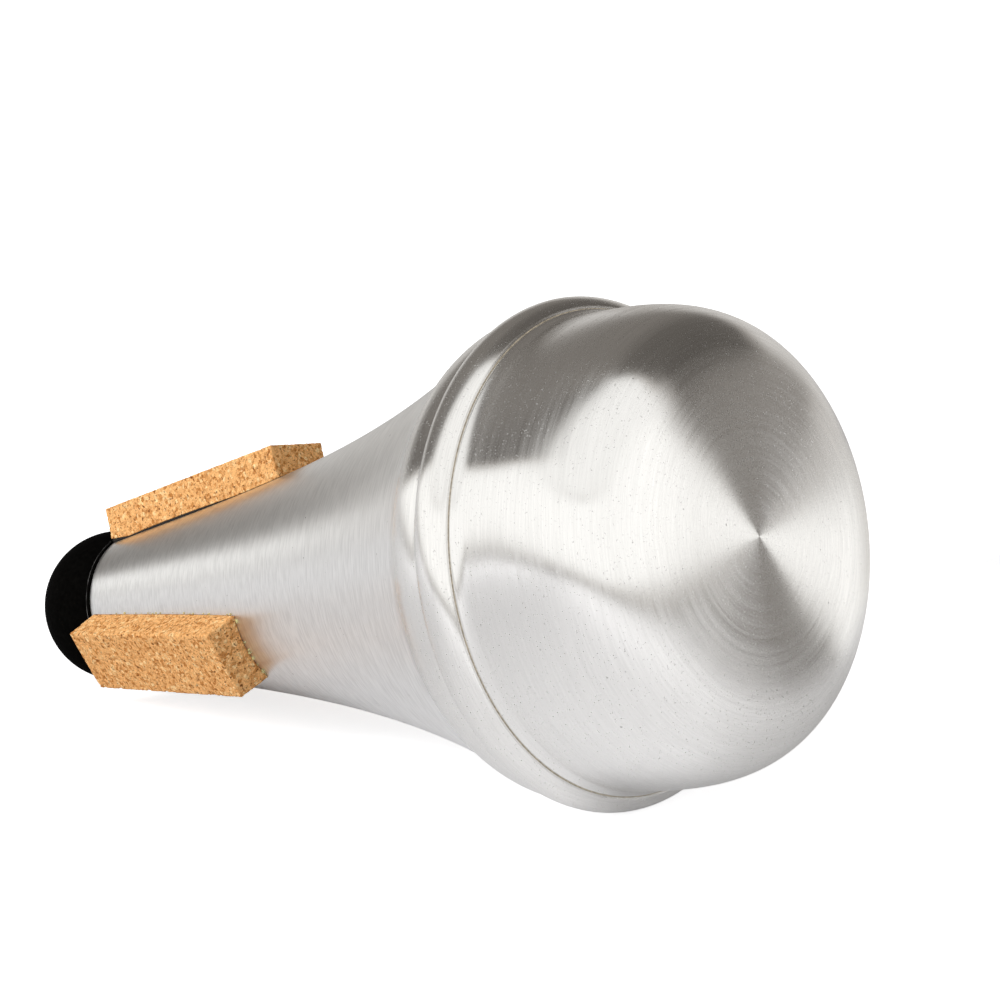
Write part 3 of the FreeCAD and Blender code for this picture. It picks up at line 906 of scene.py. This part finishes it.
def makeCrumbTree():
    tree, given = newTree("scatterCrumbs", {"Path": "Geometry", **crumbInputs})
    link = tree.links.new

    curve = tree.nodes.new("GeometryNodeMeshToCurve")
    link(given["Path"], curve.inputs["Mesh"])
    points = nodeWith(tree.nodes, "GeometryNodeCurveToPoints", mode="COUNT")
    link(curve.outputs[0], points.inputs["Curve"])
    link(given["Count"], points.inputs["Count"])
    chance = randomNode(tree, "FLOAT", 0.0, 1.0, given["Seed"], 1)
    kept = nodeWith(tree.nodes, "FunctionNodeCompare", operation="LESS_THAN")
    link(chance, kept.inputs[0])
    link(given["Share"], kept.inputs[1])

    lump = tree.nodes.new("GeometryNodeMeshIcoSphere")
    lump.inputs["Radius"].default_value = 1
    lump.inputs["Subdivisions"].default_value = crumbLump["subdivisions"]
    waves = tree.nodes.new("ShaderNodeTexNoise")
    waves.inputs["Scale"].default_value = crumbLump["waves"]
    dent = nodeWith(tree.nodes, "ShaderNodeVectorMath", operation="MULTIPLY_ADD")
    link(waves.outputs["Color"], dent.inputs[0])
    dent.inputs[1].default_value = (crumbLump["dent"],) * 3
    dent.inputs[2].default_value = (-crumbLump["dent"] / 2,) * 3
    uneven = tree.nodes.new("GeometryNodeSetPosition")
    link(lump.outputs["Mesh"], uneven.inputs["Geometry"])
    link(dent.outputs[0], uneven.inputs["Offset"])

    spread = tree.nodes.new("ShaderNodeCombineXYZ")
    for axis in range(3):
        push = randomNode(tree, "FLOAT", -1.0, 1.0, given["Seed"], 2 + axis)
        link(mathNode(tree, "MULTIPLY", push, given["Scatter"]), spread.inputs[axis])
    shaken = tree.nodes.new("GeometryNodeSetPosition")
    link(points.outputs["Points"], shaken.inputs["Geometry"])
    link(spread.outputs[0], shaken.inputs["Offset"])

    placed = tree.nodes.new("GeometryNodeInstanceOnPoints")
    link(shaken.outputs[0], placed.inputs["Points"])
    link(kept.outputs[0], placed.inputs["Selection"])
    link(uneven.outputs[0], placed.inputs["Instance"])
    fullTurn = (crumbLump["fullTurn"],) * 3
    turned = randomNode(tree, "FLOAT_VECTOR", (0, 0, 0), fullTurn, given["Seed"], 6)
    link(turned, placed.inputs["Rotation"])
    size = randomNode(tree, "FLOAT", given["Smallest"], given["Largest"], given["Seed"], 7)
    link(size, placed.inputs["Scale"])

    finishTree(tree, placed.outputs[0], given["Material"])
    return tree


crumbTree = makeCrumbTree()


# The row holds one value for each of the tree's inputs before its material
def scatterCrumbs(name, path, turnNumber, row, material):
    piece = addPiece(name, pathMesh(name, path))
    applyTree(piece, crumbTree, dict(zip(crumbInputs, (*row, material))))
    piece.data.transform(corkPlace(turnNumber))
    piece.data.name = name
    claim(piece, None)


# Points on the metal beside a cork, at shares of its length and width and some way out
def besideCork(block, marks, out):
    path = []
    for share, widthShare in marks:
        across = block.across(share, widthShare)
        drop = block.depth(share, across) / block.scale
        station = block.outer(share)[1] - drop * block.slope
        reach = flankRadius(station) + out
        path.append((math.sqrt(reach ** 2 - across ** 2), across, station))
    return path


frontGlue = {
    "wideEnd": (60, 0.26, 0.1, 0.48, 0.14, 5), "upperEdge": (120, 0.16, 0.07, 0.26, 0.1, 9),
    "wideShare": 1.006, "wideFrom": 0.02, "wideSpan": 0.96,
    "sideShare": 1.008, "sideFrom": 0.05, "sideSpan": 0.94, "out": 0.1, "steps": 20,
}


def makeFrontCrumbs():
    block = CorkFrame("front")
    steps = [step / frontGlue["steps"] for step in range(frontGlue["steps"] + 1)]
    endMarks = [
        (frontGlue["wideShare"], frontGlue["wideFrom"] + frontGlue["wideSpan"] * step)
        for step in steps]
    sideMarks = [
        (frontGlue["sideFrom"] + frontGlue["sideSpan"] * step, frontGlue["sideShare"])
        for step in steps]
    for name, marks, key in (("crumbsWideEnd", endMarks, "wideEnd"),
                             ("crumbsUpperEdge", sideMarks, "upperEdge")):
        path = besideCork(block, marks, frontGlue["out"])
        scatterCrumbs(name, path, 2, frontGlue[key], crumbGlue)


# Seam: a thin bead of sealant between bowl and lip, with specks of it beside

seam = {
    "radius": 0.13, "sides": 10, "depth": 0.04, "segments": 192,
    "specks": (260, 0.22, 0.03, 0.1, 0.05, 3), "speckSteps": 200,
}
seamRadius = rim["lipRadius"] - bowl["seamGap"] / 2


def makeSeamFillet():
    radius, sides, station = seam["radius"], seam["sides"], rim["lipAt"] + seam["depth"]
    turns = [math.tau * step / sides for step in range(sides + 1)]
    points = [
        Vector((seamRadius + radius * math.cos(turn), station - radius * math.sin(turn)))
        for turn in turns]
    claim(spinPiece("seamFillet", points, seam["segments"], sealantGlue), None)


def makeSeamSpecks():
    turns = [math.tau * step / seam["speckSteps"] for step in range(seam["speckSteps"] + 1)]
    path = [
        (seamRadius * math.cos(turn), seamRadius * math.sin(turn), rim["lipAt"])
        for turn in turns]
    scatterCrumbs("seamSpecks", path, 0, seam["specks"], sealantGlue)


makeCone()
makeBowl()
makeNose()
for number, side in enumerate(("top", "back", "front")):
    makeCorkBlock(side, number)
    makeFilm(side, number)
makeFrontCrumbs()
makeSeamFillet()
makeSeamSpecks()
frame["nodes"]["seam_sealant"].data.materials[0] = sealantGlue
print("pieces made")


# Studio: a light tent on the camera's side, a low white sweep behind, and a pale floor

tent = {
    # azimuths from and to, heights from and to, lean of either side, softness, light
    "hazeBehind": (112, 200, 24, 110, 0.0, 0.0, 5.0, 0.21),
    "backSweep": (82, 130, -25, 22, 0.0, 0.0, 4.0, 0.75),
    "leftSweep": (130, 174, -6, 21, 0.0, -1.8, 4.0, 0.8),
    "roof": (231, 394, 34, 110, 0.0, 0.0, 4.0, 1.05),
    "wallLeft": (200, 352.5, 2.5, 35, 1.3, 0.0, 3.0, 1.16),
    "wallRight": (352.5, 400.5, 2.5, 35, 0.0, 0.0, 3.0, 1.18),
    "wallEnd": (388, 403, 2.8, 25, 0.0, -0.74, 1.3, 1.27),
    "voidHigh": (405, 440, 20, 45, -0.5, 0.0, 3.0, 0.1),
    "voidLow": (408.5, 440, 4, 20, -0.5, 0.0, 2.5, 0.27),
    "farTable": (400, 500, -110, -12.5, 0.0, 0.0, 2.0, 0.9),
    "stripTop": (420.5, 436, 1, 9, 2.7, 0.0, 1.5, 0.75),
    "backStrip": (419.4, 448, -13, 1.8, -0.82, 0.0, 1.3, 1.42),
    "stripEnd": (431, 452, -13, 6, 0.0, 0.0, 4.0, 0.75),
}
studio = {
    "dimRoom": 0.12, "diffuseChange": -0.05,
    "dimColour": (1.0, 0.9, 0.8), "brightColour": (1.0, 0.995, 0.975),
}
floorLook = {
    "outline": ((38, 12), (35, 0.275), (88, 0.22), (95, 12), (135, 17), (225, 17), (315, 17)),
    "colour": (0.7, 0.7, 0.715), "toCamera": 0.75, "toMetal": 0.52, "liftSpan": (0.0, 0.34),
}
keyLamp = {"place": (-0.78, -1.11, 0.85), "size": 0.8, "watts": 19.0}


# One inside half of the span, fading to none over twice the softness
def softEdge(tree, distance, half, softness):
    past = mathNode(tree, "SUBTRACT", mathNode(tree, "ABSOLUTE", distance), half)
    fade = mathNode(tree, "MULTIPLY_ADD", past, -0.5 / softness, 0.5)
    clamp = tree.nodes.new("ShaderNodeClamp")
    tree.links.new(fade, clamp.inputs[0])
    return clamp.outputs[0]


def makeWorld():
    world = bpy.data.worlds.new("lightTent")
    scene.world = world
    world.use_nodes = True
    tree = world.node_tree
    nodes, link = tree.nodes, tree.links.new
    way = nodes.new("ShaderNodeTexCoord").outputs["Generated"]
    x, y, z = partsOf(tree, way)
    toDegrees = math.degrees(1)
    azimuth = mathNode(tree, "MULTIPLY", mathNode(tree, "ARCTAN2", y, x), toDegrees)
    height = mathNode(tree, "MULTIPLY", mathNode(tree, "ARCSINE", z), toDegrees)

    light = studio["dimRoom"]
    for left, right, low, high, leftLean, rightLean, softness, brightness in tent.values():
        above = mathNode(tree, "SUBTRACT", height, (low + high) / 2)
        middleLean, spreadLean = (leftLean + rightLean) / 2, (rightLean - leftLean) / 2
        middle = mathNode(tree, "MULTIPLY_ADD", above, middleLean, (left + right) / 2)
        aside = mathNode(tree, "WRAP", mathNode(tree, "SUBTRACT", azimuth, middle), 180, -180)
        half = mathNode(tree, "MULTIPLY_ADD", above, spreadLean, (right - left) / 2)
        level = softEdge(tree, above, (high - low) / 2, softness)
        inside = mathNode(tree, "MULTIPLY", softEdge(tree, aside, half, softness), level)
        change = mathNode(tree, "SUBTRACT", brightness, light)
        light = mathNode(tree, "MULTIPLY_ADD", inside, change, light)

    path = nodes.new("ShaderNodeLightPath")
    isDiffuse = path.outputs["Is Diffuse Ray"]
    share = mathNode(tree, "MULTIPLY_ADD", isDiffuse, studio["diffuseChange"], 1)
    tint = mixNode(nodes, link, light, studio["dimColour"], studio["brightColour"])
    room = nodes["Background"]
    link(mathNode(tree, "MULTIPLY", light, share), room.inputs["Strength"])
    link(tint, room.inputs["Color"])
    white = nodes.new("ShaderNodeBackground")
    white.inputs["Color"].default_value = (1, 1, 1, 1)
    pick = nodes.new("ShaderNodeMixShader")
    link(path.outputs["Is Camera Ray"], pick.inputs[0])
    link(room.outputs[0], pick.inputs[1])
    link(white.outputs[0], pick.inputs[2])
    link(pick.outputs[0], nodes["World Output"].inputs["Surface"])


# A wide table with a notch close behind the mute; its corners are azimuths and distances
def makeFloor():
    mesh = bpy.data.meshes.new("floor")
    corners = [
        (away * math.cos(math.radians(azimuth)), away * math.sin(math.radians(azimuth)), 0)
        for azimuth, away in floorLook["outline"]
    ]
    mesh.from_pydata(corners, [], [range(len(corners))])
    floor = addPiece("floor", mesh)
    material, nodes, link, shader = newMaterial("whiteFloor")
    shader.inputs["Base Color"].default_value = (*floorLook["colour"], 1)
    shader.inputs["Roughness"].default_value = 1
    shader.inputs["Specular IOR Level"].default_value = 0
    path = nodes.new("ShaderNodeLightPath")
    tree = material.node_tree
    toCamera = mathNode(tree, "MULTIPLY", path.outputs["Is Camera Ray"], floorLook["toCamera"])
    # The floor glows for glossy rays, more towards +x: painted light seen only in the metal's
    # reflections
    toRight = partsOf(tree, nodes.new("ShaderNodeTexCoord").outputs["Object"])[0]
    lift = rangeNode(nodes, link, toRight, floorLook["liftSpan"], (0, floorLook["toMetal"]))
    toMetal = mathNode(tree, "MULTIPLY", path.outputs["Is Glossy Ray"], lift)
    shader.inputs["Emission Color"].default_value = (1, 1, 1, 1)
    link(mathNode(tree, "ADD", toCamera, toMetal), shader.inputs["Emission Strength"])
    mesh.materials.append(material)


def makeKeyLamp():
    data = bpy.data.lights.new("keyLamp", "AREA")
    data.size = keyLamp["size"]
    data.energy = keyLamp["watts"]
    lamp = bpy.data.objects.new("keyLamp", data)
    scene.collection.objects.link(lamp)
    lamp.location = keyLamp["place"]
    lamp.rotation_euler = (-Vector(keyLamp["place"])).to_track_quat("-Z", "Y").to_euler()
    lamp.visible_glossy = False    # the tent alone shows in the metal


cameraValues = {
    "place": (0.466452, -0.488623, 0.202955),
    "turnDegrees": (77.5967, 1.1042, 41.4615),
    "lens": 115.2,
    "sensor": 36.0,
    "nearest": 0.01,
}


def makeCamera():
    data = bpy.data.cameras.new("photoCamera")
    data.lens = cameraValues["lens"]
    data.sensor_width = cameraValues["sensor"]
    data.clip_start = cameraValues["nearest"]
    camera = bpy.data.objects.new("photoCamera", data)
    scene.collection.objects.link(camera)
    camera.location = cameraValues["place"]
    camera.rotation_euler = [math.radians(angle) for angle in cameraValues["turnDegrees"]]
    scene.camera = camera


makeWorld()
makeFloor()
makeKeyLamp()
makeCamera()
print("studio made")
